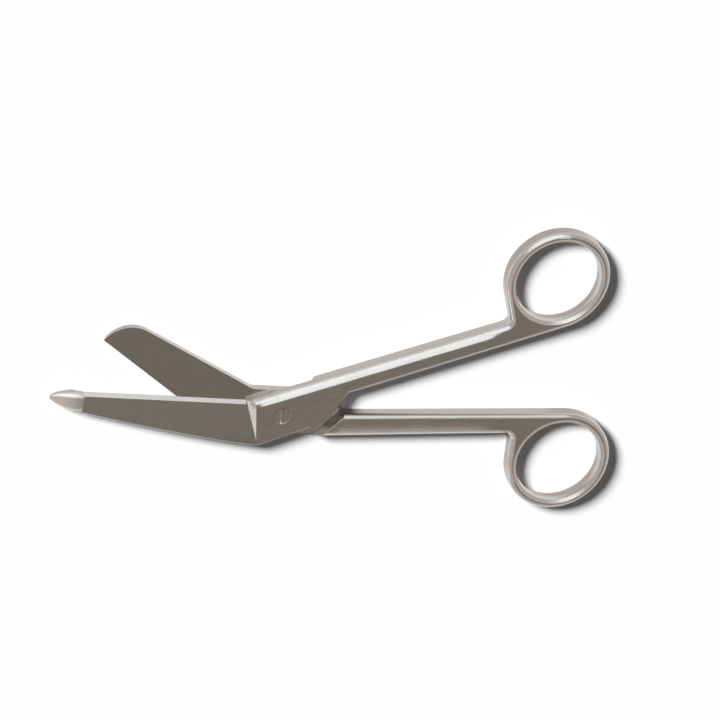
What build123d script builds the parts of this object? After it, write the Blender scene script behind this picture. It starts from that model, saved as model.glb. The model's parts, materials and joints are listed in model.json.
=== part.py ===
from build123d import *
import math
import os

# Bandage scissors: two forged steel halves, lapped and held by one slotted screw.
# Millimetres. The pivot axis is Z, X runs from the pivot to the finger rings, and the scissors lie on z = 0.
# Each half is drawn as it lies when closed, and the probe half is then opened to its rest.

# Whole scissors
THICKNESS = 4.6
REST_OPENING = 18.0
LAP_GAP = 0.06
EDGE_ROUND = 1.3
RIM_BEVEL = 0.2

# Finger rings and shanks
RING_X = 74.6
RING_INNER_RADIUS = 10.75
RING_WALL = 2.75
RING_LIFT = 0.8
HOLE_EASE_WIDTH = 1.25
HOLE_EASE_DEPTH = 1.4
WEB_RUN = 0.15
WEB_CORNER_RADIUS = 1.6
SHANK_OUTER_Y = 6.2
SHANK_INNER_Y = 0.2

# Lap joint: each recess ends in a sloped shoulder, and the other half's leaf stops short of it
SHOULDER_DISTANCE = 12.3
SHOULDER_ANGLE = 44.3
SHOULDER_RUN = 1.25
STOP_GAP = 0.35
LEAF_ROOT_X = -7.6
LEAF_ROOT_Y = 6.4
LEAF_HEEL_Y = 5.2
LEAF_CORNER_RADIUS = 3.0

# Blades, as they lie when closed: each is ground to a wedge, with a sloped step where the grind begins
PROBE_EDGE_TIP = (-47.6, 22.2)
PROBE_SPINE_TIP = (-49.2, 17.5)
PLAIN_HEEL_X = -12.9
PLAIN_EDGE_TIP = (-47.7, 20.5)
PLAIN_SPINE_END = (-36.9, 22.9)
SPINE_BELLY = 0.5
SPINE_ROOT_RADIUS = 7.0
EDGE_THICKNESS = 0.7
GRIND_RUNOUT = 1.8
PLUNGE_ANGLE = 50.0
EDGE_LAND = 0.15
EDGE_BEVEL_WIDTH = 0.9

# Blunt probe at the tip of the blade that goes under the bandage
PROBE_TIP = (-55.4, 23.4)
PROBE_ROOT = 0.9
PROBE_TOP = 1.9
PROBE_BOTTOM = 1.6
PROBE_OVERHANG = 0.1
PROBE_SETBACK = 1.7
PROBE_STATIONS = (0, 0.35, 0.62, 0.84, 0.95)
PROBE_FULLNESS = 0.7
PROBE_CORNER_SHARE = 0.34

# Pivot screw
SCREW_RADIUS = 1.4
HEAD_RADIUS = 2.2
HEAD_SINK = 0.03
SCREW_END_SINK = 0.1
SLOT_WIDTH = 0.6
SLOT_DEPTH = 0.6
SLOT_ANGLE = 92.0
RUNNING_CLEARANCE = 0.05

# Worked out from the sizes above
MID_Z = THICKNESS / 2
LEAF_THICKNESS = MID_Z - LAP_GAP / 2
UPPER_LAP_Z = MID_Z + LAP_GAP / 2
LOWER_LAP_Z = MID_Z - LAP_GAP / 2
RING_OUTER_RADIUS = RING_INNER_RADIUS + RING_WALL
RING_CENTRE = (RING_X, RING_LIFT + RING_OUTER_RADIUS)
WEB_X = RING_X - RING_OUTER_RADIUS - WEB_RUN
SHOULDER_TURN = math.radians(SHOULDER_ANGLE)
STOP_DISTANCE = SHOULDER_DISTANCE - STOP_GAP
LEAF_HEEL_X = (STOP_DISTANCE - LEAF_HEEL_Y * math.sin(SHOULDER_TURN)) / math.cos(SHOULDER_TURN)
HEAD_DEPTH = HEAD_RADIUS - SCREW_RADIUS
REACH = 2 * RING_X


def tangent_point(start, centre, radius, side):
    """Where a line from start touches a circle, with side +1 for its left and -1 for its right."""
    reach = Vector(*centre) - Vector(*start)
    half_angle = math.degrees(math.asin(radius / reach.length))
    line = reach.normalized().rotate(Axis.Z, side * half_angle)
    touch = Vector(*start) + line * math.sqrt(reach.length**2 - radius**2)
    return (touch.X, touch.Y)


def upright_plane(angle):
    """A standing plane on the pivot axis, with its X pointing outwards at the angle and its Y up."""
    turn = math.radians(angle)
    outwards = (math.cos(turn), math.sin(turn), 0)
    return Plane((0, 0, 0), x_dir=outwards, z_dir=(math.sin(turn), -math.cos(turn), 0))


def make_ring_hole():
    """What is cut out of a finger ring: a round hole, eased towards both faces by two bevels."""
    share = 1 - math.sqrt(0.5)
    rim = RING_INNER_RADIUS + HOLE_EASE_WIDTH
    middle = RING_INNER_RADIUS + share * HOLE_EASE_WIDTH
    with BuildPart() as hole:
        with BuildSketch(Plane((*RING_CENTRE, MID_Z), x_dir=(1, 0, 0), z_dir=(0, -1, 0))):
            with BuildLine():
                Polyline(
                    (0, 0),
                    (RING_INNER_RADIUS, 0),
                    (RING_INNER_RADIUS, MID_Z - HOLE_EASE_DEPTH),
                    (middle, MID_Z - share * HOLE_EASE_DEPTH),
                    (rim, MID_Z),
                    (rim, THICKNESS),
                    (0, THICKNESS),
                    close=True,
                )
            make_face()
            mirror(about=Plane.XZ)
        revolve(axis=Axis((*RING_CENTRE, 0), (0, 0, 1)))
    return hole.part


def make_bow(root_x):
    """Shank and finger ring at full thickness, all edges rounded, reaching back past the pivot to root_x."""
    shoulder_x = SHOULDER_DISTANCE / math.cos(SHOULDER_TURN)
    inner_end = tangent_point((shoulder_x, SHANK_INNER_Y), RING_CENTRE, RING_OUTER_RADIUS, -1)
    slope = (inner_end[1] - SHANK_INNER_Y) / (inner_end[0] - shoulder_x)
    inner_root = (root_x, SHANK_INNER_Y + slope * (root_x - shoulder_x))
    web_foot = (WEB_X, SHANK_OUTER_Y)
    web_top = tangent_point(web_foot, RING_CENTRE, RING_OUTER_RADIUS, 1)
    with BuildPart() as bow:
        with BuildSketch() as plan:
            with BuildLine():
                outer_root = (root_x, SHANK_OUTER_Y)
                Polyline(inner_root, inner_end, RING_CENTRE, web_top, web_foot, outer_root, close=True)
            make_face()
            with Locations(RING_CENTRE):
                Circle(RING_OUTER_RADIUS)
            fillet(plan.vertices().sort_by_distance((*web_foot, 0))[0], WEB_CORNER_RADIUS)
        extrude(amount=THICKNESS)
        bottom, *_, top = bow.faces().filter_by(Axis.Z).sort_by(Axis.Z)
        fillet(bottom.edges().sort_by(Axis.X)[1:] + top.edges().sort_by(Axis.X)[1:], EDGE_ROUND)
        add(make_ring_hole(), mode=Mode.SUBTRACT)
    return bow.part


def make_leaf():
    """Half-thick plate beside the pivot, whose sloped end stops at the other half's shoulder."""
    inside_y = SHANK_OUTER_Y / 2
    slope = (LEAF_ROOT_Y - LEAF_HEEL_Y) / (LEAF_HEEL_X - LEAF_ROOT_X)
    far_y = slope * (RING_X - LEAF_HEEL_X) - LEAF_HEEL_Y
    rim_foot = STOP_DISTANCE - SHOULDER_RUN * RIM_BEVEL / MID_Z
    with BuildPart() as leaf:
        with BuildSketch(Plane.XY.offset(UPPER_LAP_Z)):
            with BuildLine():
                Polyline(
                    (LEAF_ROOT_X, inside_y),
                    (RING_X, inside_y),
                    (RING_X, far_y),
                    (LEAF_ROOT_X, -LEAF_ROOT_Y),
                    close=True,
                )
            make_face()
        extrude(amount=LEAF_THICKNESS)
        with BuildSketch(upright_plane(-SHOULDER_ANGLE)):
            with BuildLine():
                Polyline(
                    (STOP_DISTANCE - SHOULDER_RUN, MID_Z),
                    (REACH, MID_Z),
                    (REACH, REACH),
                    (rim_foot - RIM_BEVEL, REACH),
                    (rim_foot - RIM_BEVEL, THICKNESS),
                    (rim_foot, THICKNESS - RIM_BEVEL),
                    close=True,
                )
            make_face()
        extrude(amount=REACH, both=True, mode=Mode.SUBTRACT)
        heel = (LEAF_HEEL_X - SHOULDER_RUN / 2, -LEAF_HEEL_Y, THICKNESS - LEAF_THICKNESS / 2)
        fillet(leaf.edges().sort_by_distance(heel)[0], LEAF_CORNER_RADIUS)
    return leaf.part


def make_handle(root_x):
    """Ring, shank and lap joint of one half, with its leaf on top."""
    foot = SHOULDER_DISTANCE - SHOULDER_RUN
    with BuildPart() as handle:
        add(make_bow(root_x))
        add(make_leaf())
        with BuildSketch(upright_plane(SHOULDER_ANGLE)):
            with BuildLine():
                Polyline(
                    (-REACH, -REACH),
                    (SHOULDER_DISTANCE, -REACH),
                    (SHOULDER_DISTANCE, 0),
                    (foot, UPPER_LAP_Z),
                    (-REACH, UPPER_LAP_Z),
                    close=True,
                )
            make_face()
        extrude(amount=REACH, both=True, mode=Mode.SUBTRACT)
    return handle.part


def ground_plane(edge_root, edge_tip, spine_root, lap_z, outward):
    """Plane of a blade's ground face, X along the cutting edge, running out short of the spine's root."""
    along = Vector(*edge_tip) - Vector(*edge_root)
    across = Vector(*spine_root) - Vector(*edge_root)
    rise = Vector(0, 0, outward * (LEAF_THICKNESS - EDGE_THICKNESS))
    to_spine = across - across.normalized() * GRIND_RUNOUT + rise
    origin = (*edge_root, lap_z + outward * EDGE_THICKNESS)
    return Plane(origin, x_dir=along, z_dir=along.cross(to_spine))


def make_grind(ground, root, tip):
    """What is ground off a blade between a root line and a tip line, each from the edge to the spine."""
    corners = []
    for near, far in (root, tip[::-1]):
        start, end = (ground.to_local_coords(Vector(*point, ground.origin.Z)) for point in (near, far))
        corners += [start * 2 - end, end * 2 - start]
    with BuildPart() as ground_off:
        with BuildSketch(ground):
            with BuildLine():
                Polyline(*((corner.X, corner.Y) for corner in corners), close=True)
            make_face()
        extrude(amount=LEAF_THICKNESS, taper=-PLUNGE_ANGLE)
    return ground_off.part


def make_edge_bevel(ground):
    """What is taken off a cutting edge to sharpen it down to a thin land."""
    inwards = Vector(ground.y_dir.X, ground.y_dir.Y)
    bevel_top = EDGE_BEVEL_WIDTH * math.tan(math.radians(inwards.get_angle(ground.y_dir)))
    land = EDGE_LAND - EDGE_THICKNESS
    with BuildPart() as sharpened_off:
        with BuildSketch(Plane(ground.origin, x_dir=inwards, z_dir=ground.x_dir)):
            with BuildLine():
                Polyline(
                    (EDGE_BEVEL_WIDTH, bevel_top),
                    (-EDGE_BEVEL_WIDTH, 2 * land - bevel_top),
                    (-EDGE_BEVEL_WIDTH, bevel_top),
                    close=True,
                )
            make_face()
        extrude(amount=REACH)
    return sharpened_off.part


def make_probe():
    """Blunt, tapering button that goes ahead under the bandage."""
    edge_side, spine_side = Vector(*PROBE_EDGE_TIP), Vector(*PROBE_SPINE_TIP)
    across = edge_side - spine_side
    forward = across.rotate(Axis.Z, 90).normalized()
    middle = (edge_side + spine_side) / 2 - forward * PROBE_ROOT
    to_tip = Vector(*PROBE_TIP) - middle
    base = middle + Vector(0, 0, MID_Z + (PROBE_TOP - PROBE_BOTTOM) / 2)
    width = across.length + 2 * PROBE_OVERHANG
    height = PROBE_TOP + PROBE_BOTTOM
    with BuildPart() as probe:
        for station in PROBE_STATIONS:
            size = (1 - station**2) ** PROBE_FULLNESS
            with BuildSketch(Plane(base + to_tip * station, x_dir=across, z_dir=forward)):
                RectangleRounded(width * size, height * size, PROBE_CORNER_SHARE * height * size)
        loft()
        # room under the lap for the tip of the plain blade
        with BuildSketch(Plane(middle + Vector(0, 0, UPPER_LAP_Z), x_dir=forward, z_dir=across)):
            with BuildLine():
                Polyline(
                    (-PROBE_SETBACK, 0),
                    (PROBE_SETBACK, 0),
                    (PROBE_SETBACK + height, -height),
                    (-PROBE_SETBACK, -height),
                    close=True,
                )
            make_face()
        extrude(amount=width, both=True, mode=Mode.SUBTRACT)
    return probe.part


def spine_middle(start, end, bulge):
    """Middle point of a gently bellied spine, which bulges to the right of the way from start to end."""
    run = Vector(*end) - Vector(*start)
    middle = Vector(*start) + run / 2 + run.normalized().rotate(Axis.Z, -90) * bulge
    return (middle.X, middle.Y)


def make_probe_half():
    """Half with the probe blade, as it lies when closed."""
    edge_root = (LEAF_ROOT_X, SHANK_OUTER_Y)
    spine_root = (LEAF_ROOT_X, -LEAF_ROOT_Y)
    ground = ground_plane(edge_root, PROBE_EDGE_TIP, spine_root, UPPER_LAP_Z, 1)
    with BuildPart() as half:
        add(make_handle(LEAF_ROOT_X))
        with BuildSketch(Plane.XY.offset(UPPER_LAP_Z)):
            with BuildLine():
                Polyline(spine_root, edge_root, PROBE_EDGE_TIP, PROBE_SPINE_TIP)
                belly = spine_middle(PROBE_SPINE_TIP, spine_root, SPINE_BELLY)
                ThreePointArc(PROBE_SPINE_TIP, belly, spine_root)
            make_face()
        extrude(amount=LEAF_THICKNESS)
        corner = (*spine_root, THICKNESS - LEAF_THICKNESS / 2)
        fillet(half.edges().filter_by(Axis.Z).sort_by_distance(corner)[0], SPINE_ROOT_RADIUS)
        past_tip = ((-REACH, REACH), (-REACH, 0))
        add(make_grind(ground, (edge_root, spine_root), past_tip), mode=Mode.SUBTRACT)
        add(make_edge_bevel(ground), mode=Mode.SUBTRACT)
        # broken rim along the spine and on round the leaf
        spine = half.faces().sort_by_distance((*belly, THICKNESS - LEAF_THICKNESS / 2))[0]
        chamfer(spine.edges().sort_by(Axis.Z)[-2:], RIM_BEVEL)
        add(make_probe())
        with Locations((0, 0, THICKNESS)):
            CounterSinkHole(
                SCREW_RADIUS + RUNNING_CLEARANCE,
                HEAD_RADIUS + RUNNING_CLEARANCE + HEAD_SINK,
                depth=THICKNESS,
                counter_sink_angle=90,
            )
    return half.part


with BuildPart() as probe_half:
    add(make_probe_half(), rotation=(0, 0, REST_OPENING))
probe_half.part.label = "probe_half"

with BuildPart() as plain_half:
    edge_root = (PLAIN_HEEL_X, -SHANK_OUTER_Y)
    spine_root = (LEAF_ROOT_X, LEAF_ROOT_Y)
    spine_run = Vector(*PLAIN_SPINE_END) - Vector(*spine_root)
    add(make_handle(PLAIN_HEEL_X).moved(Location((0, 0, THICKNESS), (180, 0, 0))))
    with BuildSketch(Plane.XY.offset(LOWER_LAP_Z)):
        with BuildLine():
            inside = (LEAF_ROOT_X, -SHANK_OUTER_Y / 2)
            Polyline(PLAIN_EDGE_TIP, edge_root, inside, spine_root, PLAIN_SPINE_END)
            TangentArc(PLAIN_SPINE_END, PLAIN_EDGE_TIP, tangent=spine_run)
        make_face()
    extrude(amount=-LEAF_THICKNESS)
    corner = (*spine_root, LEAF_THICKNESS / 2)
    fillet(plain_half.edges().filter_by(Axis.Z).sort_by_distance(corner)[0], LEAF_CORNER_RADIUS)
    ground = ground_plane(edge_root, PLAIN_EDGE_TIP, spine_root, LOWER_LAP_Z, -1)
    past_tip = ((-REACH, 0), (-REACH, REACH))
    add(make_grind(ground, (edge_root, spine_root), past_tip), mode=Mode.SUBTRACT)
    add(make_edge_bevel(ground), mode=Mode.SUBTRACT)
    Hole(SCREW_RADIUS)
plain_half.part.label = "plain_half"

with BuildPart() as pivot_screw:
    head_z = THICKNESS - HEAD_SINK
    with BuildSketch(Plane.XZ):
        with BuildLine():
            Polyline(
                (0, SCREW_END_SINK),
                (SCREW_RADIUS, SCREW_END_SINK),
                (SCREW_RADIUS, head_z - HEAD_DEPTH),
                (HEAD_RADIUS, head_z),
                (0, head_z),
                close=True,
            )
        make_face()
    revolve(axis=Axis.Z)
    with Locations(Location((0, 0, head_z), (0, 0, SLOT_ANGLE))):
        Box(3 * HEAD_RADIUS, SLOT_WIDTH, 2 * SLOT_DEPTH, mode=Mode.SUBTRACT)
pivot_screw.part.label = "pivot_screw"

os.makedirs("parts", exist_ok=True)
export_step(probe_half.part, "parts/probe_half.step")
export_step(plain_half.part, "parts/plain_half.step")
export_step(pivot_screw.part, "parts/pivot_screw.step")
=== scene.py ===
import json
import math

import bpy
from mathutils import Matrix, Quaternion, Vector


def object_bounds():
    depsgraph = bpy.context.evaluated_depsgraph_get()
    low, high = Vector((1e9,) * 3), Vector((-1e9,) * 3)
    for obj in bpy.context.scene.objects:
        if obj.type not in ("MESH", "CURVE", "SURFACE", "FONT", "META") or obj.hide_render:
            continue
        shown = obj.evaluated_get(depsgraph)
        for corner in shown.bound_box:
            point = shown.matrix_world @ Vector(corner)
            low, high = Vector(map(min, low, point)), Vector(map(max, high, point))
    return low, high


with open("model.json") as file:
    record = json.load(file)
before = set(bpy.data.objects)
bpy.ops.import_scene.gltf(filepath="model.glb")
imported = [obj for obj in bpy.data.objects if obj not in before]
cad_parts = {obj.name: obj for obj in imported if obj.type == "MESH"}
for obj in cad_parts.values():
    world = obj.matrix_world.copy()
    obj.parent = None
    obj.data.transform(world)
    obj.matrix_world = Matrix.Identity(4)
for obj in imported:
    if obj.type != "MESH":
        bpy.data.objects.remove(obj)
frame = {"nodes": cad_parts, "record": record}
cad_low, cad_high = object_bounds()

# The photograph's view: a long lens, tilted from straight above towards the picture's upper left.
# The picture's centre is given to the right of the pivot and above it.
CAMERA_PLACE = (120.0, 56.2)
PICTURE_TURN = math.radians(4.05)
PICTURE_PIXELS = 720
PIXELS_PER_METRE = 4060
PICTURE_CENTRE = (0.01985, 0.01268)
PIVOT = Vector((0, 0, 0.0023))
CAMERA_DISTANCE = 2.0
CLIP_END = 20.0
SENSOR_WIDTH = 36.0

# Studio light: a key from the upper left and a dim fill. The steel shows pale walls, white screens
# and dim gaps. A place in the studio is a heading and an elevation, and a spread is an inner and an
# outer angle, all in degrees.
KEY_PLACE = (141.0, 33.0)
KEY_STRENGTH = 5.2
KEY_ANGLE = math.radians(15.0)
FILL_COLOUR = (0.08, 0.08, 0.08, 1)
WALL_COLOUR = (0.65, 0.59, 0.55, 1)
SCREEN_COLOUR = (1.42, 1.46, 1.48, 1)
SCREENS = (
    ((103.0, 46.0), (24.0, 38.0)),
    ((40.0, 83.0), (9.0, 15.0)),
    ((229.0, 19.0), (8.0, 12.0)),
)
GAP_COLOUR = (0.265, 0.23, 0.195, 1)
GAPS = (
    ((303.0, 52.0), (10.0, 15.0)),
    ((332.0, 62.0), (13.0, 17.0)),
)
FLOOR_COLOUR = (1.0, 1.0, 1.0, 1)
FLOOR_SIZE = 8.0
FLOOR_DROP = 0.00002

# Places on the scissors, in metres. A half's own axes run from the pivot to its ring and across
# its shank, and a blend is the length over which one finish goes over to the next.
OPENINGS = {item["name"]: item["box_m"] for item in frame["record"]["physics"]["openings"]}
FAR_AWAY = 1.0
REST_OPENING = math.radians(18.0)
BLADE_ROOT = -0.0076
BLADE_BLEND = 0.0003
RING_REACH = 0.0152
RING_BLEND = 0.002
PROBE_START = 0.0513
PROBE_BLEND = 0.0001
SLOT_TOP = 0.00455
SLOT_FOOT = 0.002
SLOT_BLEND = 0.0001
SEAT_RADIUS = 0.0034
SEAT_BLEND = 0.0002

# Forms that are bump only: the crowned flat of the plain half's shank, and the softened upper edge
# of the probe half's shank. Each fades in and out along the shank.
CROWN_SLOPE = 0.2
CROWN_START = -0.0008
CROWN_WIDTH = 0.0048
CROWN_FADES = ((0.012, 0.017), (0.062, 0.05))
SOFT_EDGE_DEPTH = 0.00048
SOFT_EDGE = (0.0038, 0.0059)
SOFT_EDGE_FADES = ((-0.0072, -0.003), (0.059, 0.054))

# Grinding lines: their headings, and how fast the noise runs along them and across them
PLAIN_BLADE_LINES = math.radians(52.0)
PROBE_BLADE_LINES = REST_OPENING + math.radians(71.2)
SCREW_LINES = math.radians(92.0)
HANDLE_STRETCH = (180, 5200, 5200)
BLADE_STRETCH = (900, 6000, 6000)
LINE_DETAIL = 3.0
CLOUD_SCALE = 90.0
CLOUD_DETAIL = 4.0
CLOUD_SHARE = 0.4
SPECK_SCALE = 2600.0
SPECK_DETAIL = 2.0
SPECK_SHARE = 0.4
GRAIN_STRENGTH = 0.05
GRAIN_DEPTH = 0.0002

# Steel: the noise between these two tones gives the two colours and the two degrees of roughness.
# How far a face looks up or down (1 is level) tells the blades' flats and the sides apart; both get
# painted shade.
TONES = (0.3, 0.7)
STEEL_COLOURS = ((0.51, 0.5, 0.485, 1), (0.69, 0.68, 0.665, 1))
STEEL_ROUGHNESS = (0.15, 0.21)
# Painted shade: the blades' up-facing flats are painted darker than the rest of the steel.
BLADE_SHADE_COLOUR = (0.47, 0.47, 0.445, 1)
BLADE_LEVEL = (0.75, 0.88)
BLADE_SHADE_SHARE = 0.75
# Painted highlight: the probe tip is painted paler than the steel.
PROBE_SHEEN_COLOUR = (0.76, 0.73, 0.7, 1)
PROBE_SHEEN_SHARE = 0.9
PROBE_ROUGHNESS = 0.28
# Painted shade: upright faces are painted darker; on the rings they are painted warmer too, as a painted
# reflection.
SIDE_SHADE_COLOUR = (0.44, 0.405, 0.385, 1)
RING_SIDE_SHADE_COLOUR = (0.37, 0.325, 0.295, 1)
SIDE_LEVEL = (0.4, 0.15)
SLOT_ROUGHNESS = 0.55

# Sockets of the Mix node: its two inputs and its output
MIX_SOCKETS = {"FLOAT": (2, 3, 0), "RGBA": (6, 7, 2)}


def add_node(tree, kind, inputs=None, **settings):
    """A shader node with its settings, and its inputs given as values or as sockets to link."""
    node = tree.nodes.new(kind)
    for name, value in settings.items():
        setattr(node, name, value)
    for key, value in (inputs or {}).items():
        socket = node.inputs[key]
        if isinstance(value, bpy.types.NodeSocket):
            tree.links.new(value, socket)
        else:
            socket.default_value = value
    return node


def math_node(tree, operation, first, second=0.0):
    return add_node(tree, "ShaderNodeMath", {0: first, 1: second}, operation=operation).outputs[0]


def product(tree, first, second):
    return math_node(tree, "MULTIPLY", first, second)


def vector_node(tree, operation, first, second=(0, 0, 0)):
    return add_node(tree, "ShaderNodeVectorMath", {0: first, 1: second}, operation=operation)


def split(tree, vector):
    """The x, y and z of a vector."""
    return add_node(tree, "ShaderNodeSeparateXYZ", {0: vector}).outputs


def turned(tree, place, turn):
    """The place in axes that are turned about the pivot."""
    inputs = {"Vector": place, "Angle": -turn}
    return add_node(tree, "ShaderNodeVectorRotate", inputs, rotation_type="Z_AXIS").outputs[0]


def flat_length(tree, vector):
    """Length of a vector without its height."""
    flat = vector_node(tree, "MULTIPLY", vector, (1, 1, 0)).outputs["Vector"]
    return vector_node(tree, "LENGTH", flat).outputs["Value"]


def ramp(tree, value, start, end, low=0.0, high=1.0):
    """A soft step: low before the start, high past the end."""
    node = add_node(
        tree,
        "ShaderNodeMapRange",
        {"Value": value, "From Min": start, "From Max": end, "To Min": low, "To Max": high},
        interpolation_type="SMOOTHSTEP",
    )
    return node.outputs["Result"]


def between(tree, value, fade_in, fade_out):
    """1 between two fades, each given by where it is 0 and where it is 1."""
    return product(tree, ramp(tree, value, *fade_in), ramp(tree, value, *fade_out))


def mix(tree, factor, first, second, kind="FLOAT"):
    """The first value where the factor is 0, the second where it is 1."""
    at_0, at_1, result = MIX_SOCKETS[kind]
    inputs = {"Factor": factor, at_0: first, at_1: second}
    return add_node(tree, "ShaderNodeMix", inputs, data_type=kind).outputs[result]


def blend(tree, factor, first, second):
    """The same for colours."""
    return mix(tree, factor, first, second, "RGBA")


def noise(tree, vector, scale, detail):
    inputs = {"Vector": vector, "Scale": scale, "Detail": detail}
    return add_node(tree, "ShaderNodeTexNoise", inputs).outputs["Fac"]


def streaks(tree, vector, stretch):
    """Fine grinding lines: noise drawn out along the first axis of the vector."""
    drawn = vector_node(tree, "MULTIPLY", vector, stretch).outputs["Vector"]
    return noise(tree, drawn, 1.0, LINE_DETAIL)


def towards(heading, elevation):
    """Direction of a place in the studio."""
    turn, lift = math.radians(heading), math.radians(elevation)
    return Vector((math.cos(lift) * math.cos(turn), math.cos(lift) * math.sin(turn), math.sin(lift)))


def new_material(name):
    material = bpy.data.materials.new(name)
    material.use_nodes = True
    tree = material.node_tree
    tree.nodes.clear()
    output = tree.nodes.new("ShaderNodeOutputMaterial")
    return material, tree, output


def ring_centre(opening):
    """Middle of a ring's opening, seen from above."""
    low, high = OPENINGS[opening]
    return tuple((a + b) / 2 for a, b in zip(low[:2], high[:2]))


def round_ring(tree, place, centre):
    """The place as distance round a ring, distance out and height, and the distance out by itself."""
    from_centre = vector_node(tree, "SUBTRACT", place, (*centre, 0)).outputs["Vector"]
    x, y, height = split(tree, from_centre)
    distance_round = product(tree, math_node(tree, "ARCTAN2", y, x), RING_REACH)
    out = flat_length(tree, from_centre)
    parts = {0: distance_round, 1: out, 2: height}
    return add_node(tree, "ShaderNodeCombineXYZ", parts).outputs[0], out


def shank_normal(tree, along, across, crown, softened):
    """Normal of a shank: its flat falls to the lower edge, its upper edge is softened by a depth."""
    beyond = math_node(tree, "MAXIMUM", math_node(tree, "SUBTRACT", CROWN_START, across), 0.0)
    fall = product(tree, math_node(tree, "POWER", beyond, 2.0), -crown / (2 * CROWN_WIDTH))
    edge = ramp(tree, across, *SOFT_EDGE, 0.0, -softened)
    height = math_node(
        tree,
        "ADD",
        product(tree, fall, between(tree, along, *CROWN_FADES)),
        product(tree, edge, between(tree, along, *SOFT_EDGE_FADES)),
    )
    bump = add_node(tree, "ShaderNodeBump", {"Height": height, "Strength": 1.0, "Distance": 1.0})
    return bump.outputs["Normal"]


def in_slot(tree, place):
    """1 in the screw's slot and on the seat at its ends, where the cutter leaves the steel rough."""
    height = split(tree, place)[2]
    deep = between(tree, height, (SLOT_FOOT, SLOT_FOOT + SLOT_BLEND), (SLOT_TOP, SLOT_TOP - SLOT_BLEND))
    within = ramp(tree, flat_length(tree, place), SEAT_RADIUS, SEAT_RADIUS - SEAT_BLEND)
    return product(tree, deep, within)


def steel_colour(tree, tone):
    node = add_node(tree, "ShaderNodeValToRGB", {"Fac": tone})
    for element, position, colour in zip(node.color_ramp.elements, TONES, STEEL_COLOURS):
        element.position = position
        element.color = colour
    return node.outputs["Color"]


def satin_steel(
    name,
    turn,
    ring=(FAR_AWAY, FAR_AWAY),
    blade_lines=0.0,
    crown=0.0,
    softened=0.0,
    probe_start=FAR_AWAY,
):
    """Satin steel: brushed along the shank, round the ring and across the blade."""
    material, tree, output = new_material(name)
    place = add_node(tree, "ShaderNodeTexCoord").outputs["Object"]
    shank = turned(tree, place, turn)
    along, across, _ = split(tree, shank)
    blade = turned(tree, place, blade_lines)
    reach = split(tree, blade)[1]
    ring_place, ring_radius = round_ring(tree, place, ring)
    normal = add_node(tree, "ShaderNodeNewGeometry").outputs["Normal"]
    level = math_node(tree, "ABSOLUTE", split(tree, normal)[2])

    # where each finish is, from 0 to 1
    on_ring = ramp(tree, ring_radius, RING_REACH, RING_REACH - RING_BLEND)
    on_blade = ramp(tree, along, BLADE_ROOT + BLADE_BLEND, BLADE_ROOT - BLADE_BLEND)
    on_probe = ramp(tree, reach, probe_start - PROBE_BLEND, probe_start + PROBE_BLEND)
    on_side = ramp(tree, level, *SIDE_LEVEL)

    # grinding lines, cloud and speck
    shank_streaks = streaks(tree, shank, HANDLE_STRETCH)
    ring_streaks = streaks(tree, ring_place, HANDLE_STRETCH)
    blade_streaks = streaks(tree, blade, BLADE_STRETCH)
    brushed = mix(tree, on_blade, mix(tree, on_ring, shank_streaks, ring_streaks), blade_streaks)
    cloud = noise(tree, place, CLOUD_SCALE, CLOUD_DETAIL)
    speck = noise(tree, place, SPECK_SCALE, SPECK_DETAIL)
    tone = mix(tree, SPECK_SHARE, mix(tree, CLOUD_SHARE, brushed, cloud), speck)

    # colour: painted shade on the blades' flats, a painted highlight on the probe tip and painted shade
    # on the sides
    on_flat = ramp(tree, level, *BLADE_LEVEL, 0.0, BLADE_SHADE_SHARE)
    shaded_blades = blend(tree, product(tree, on_blade, on_flat), steel_colour(tree, tone), BLADE_SHADE_COLOUR)
    top = blend(tree, product(tree, on_probe, PROBE_SHEEN_SHARE), shaded_blades, PROBE_SHEEN_COLOUR)
    side = blend(tree, on_ring, SIDE_SHADE_COLOUR, RING_SIDE_SHADE_COLOUR)

    smooth = mix(tree, on_probe, ramp(tree, brushed, *TONES, *STEEL_ROUGHNESS), PROBE_ROUGHNESS)
    grain = add_node(
        tree,
        "ShaderNodeBump",
        {
            "Height": math_node(tree, "ADD", brushed, speck),
            "Strength": GRAIN_STRENGTH,
            "Distance": GRAIN_DEPTH,
            "Normal": shank_normal(tree, along, across, crown, softened),
        },
    )
    shader = add_node(
        tree,
        "ShaderNodeBsdfPrincipled",
        {
            "Base Color": blend(tree, on_side, top, side),
            "Metallic": 1.0,
            "Roughness": mix(tree, in_slot(tree, place), smooth, SLOT_ROUGHNESS),
            "Normal": grain.outputs["Normal"],
        },
    )
    tree.links.new(shader.outputs[0], output.inputs["Surface"])
    return material


def dress(node, material):
    mesh = frame["nodes"][node].data
    mesh.materials.clear()
    mesh.materials.append(material)


def dress_scissors():
    plain_steel = satin_steel(
        "plain_steel",
        0.0,
        ring=ring_centre("plain_ring"),
        blade_lines=PLAIN_BLADE_LINES,
        crown=CROWN_SLOPE,
    )
    probe_steel = satin_steel(
        "probe_steel",
        REST_OPENING,
        ring=ring_centre("probe_ring"),
        blade_lines=PROBE_BLADE_LINES,
        softened=SOFT_EDGE_DEPTH,
        probe_start=PROBE_START,
    )
    dress("plain_half", plain_steel)
    dress("probe_half", probe_steel)
    dress("pivot_screw", satin_steel("screw_steel", SCREW_LINES))


def make_floor():
    half = FLOOR_SIZE / 2
    mesh = bpy.data.meshes.new("floor")
    corners = [(-half, -half, 0), (half, -half, 0), (half, half, 0), (-half, half, 0)]
    mesh.from_pydata(corners, [], [(0, 1, 2, 3)])
    floor = bpy.data.objects.new("floor", mesh)
    floor.location.z = cad_low.z - FLOOR_DROP
    bpy.context.scene.collection.objects.link(floor)
    material, tree, output = new_material("floor_paper")
    shader = add_node(tree, "ShaderNodeBsdfDiffuse", {"Color": FLOOR_COLOUR})
    tree.links.new(shader.outputs[0], output.inputs["Surface"])
    mesh.materials.append(material)


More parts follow.
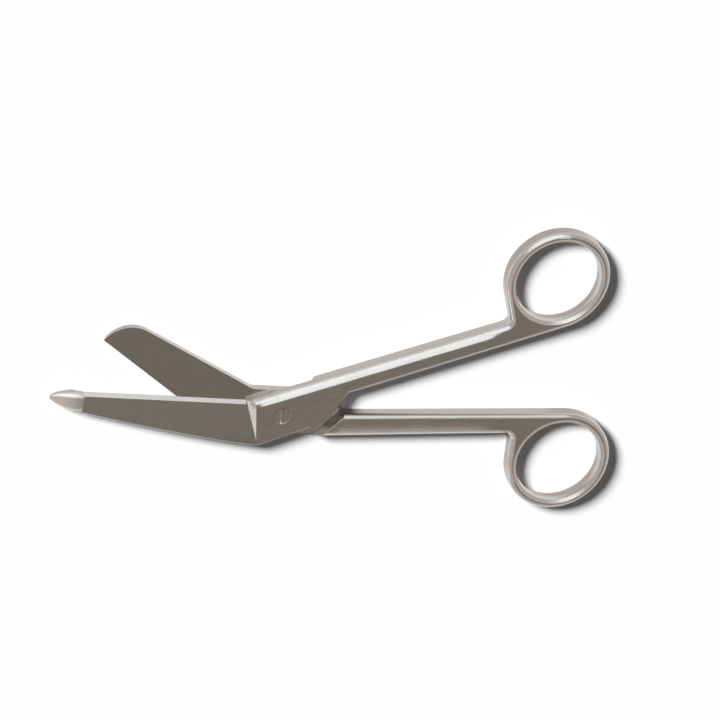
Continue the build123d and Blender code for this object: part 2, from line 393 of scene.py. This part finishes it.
def make_key():
    """The sun lamp that lights the floor and casts the shadow. The steel doesn't show it."""
    lamp = bpy.data.lights.new("key", "SUN")
    lamp.energy = KEY_STRENGTH
    lamp.angle = KEY_ANGLE
    key = bpy.data.objects.new("key", lamp)
    key.rotation_mode = "QUATERNION"
    key.rotation_quaternion = towards(*KEY_PLACE).to_track_quat("Z", "Y")
    key.visible_glossy = False
    bpy.context.scene.collection.objects.link(key)


def patch(tree, direction, place, spread):
    """1 within the inner angle of a place in the studio, falling to 0 at the outer angle."""
    near = vector_node(tree, "DOT_PRODUCT", direction, towards(*place)).outputs["Value"]
    inner, outer = (math.cos(math.radians(angle)) for angle in spread)
    return ramp(tree, near, outer, inner)


def make_sky():
    """The dim fill from all round, and the studio that the steel shows."""
    world = bpy.data.worlds.new("studio")
    bpy.context.scene.world = world
    world.use_nodes = True
    tree = world.node_tree
    tree.nodes.clear()
    direction = add_node(tree, "ShaderNodeTexCoord").outputs["Generated"]
    path = add_node(tree, "ShaderNodeLightPath").outputs
    shown = math_node(tree, "MAXIMUM", path["Is Camera Ray"], path["Is Glossy Ray"])
    shown = math_node(tree, "MAXIMUM", shown, path["Is Transmission Ray"])
    colour = WALL_COLOUR
    for places, patch_colour in ((GAPS, GAP_COLOUR), (SCREENS, SCREEN_COLOUR)):
        for place, spread in places:
            colour = blend(tree, patch(tree, direction, place, spread), colour, patch_colour)
    colour = blend(tree, shown, FILL_COLOUR, colour)
    background = add_node(tree, "ShaderNodeBackground", {"Color": colour, "Strength": 1.0})
    output = tree.nodes.new("ShaderNodeOutputWorld")
    tree.links.new(background.outputs[0], output.inputs["Surface"])


def make_camera():
    back = towards(*CAMERA_PLACE)
    turn = Quaternion((0, 0, 1), PICTURE_TURN) @ Vector((0, 0, 1)).rotation_difference(back)
    right, up, back = (turn @ Vector(axis) for axis in ((1, 0, 0), (0, 1, 0), (0, 0, 1)))
    data = bpy.data.cameras.new("camera")
    data.sensor_width = SENSOR_WIDTH
    data.lens = SENSOR_WIDTH * CAMERA_DISTANCE * PIXELS_PER_METRE / PICTURE_PIXELS
    data.clip_end = CLIP_END
    camera = bpy.data.objects.new("camera", data)
    camera.rotation_mode = "QUATERNION"
    camera.rotation_quaternion = turn
    camera.location = PIVOT + right * PICTURE_CENTRE[0] + up * PICTURE_CENTRE[1] + back * CAMERA_DISTANCE
    bpy.context.scene.collection.objects.link(camera)
    bpy.context.scene.camera = camera


dress_scissors()
make_floor()
make_key()
make_sky()
make_camera()
bpy.context.scene.view_settings.view_transform = "Standard"
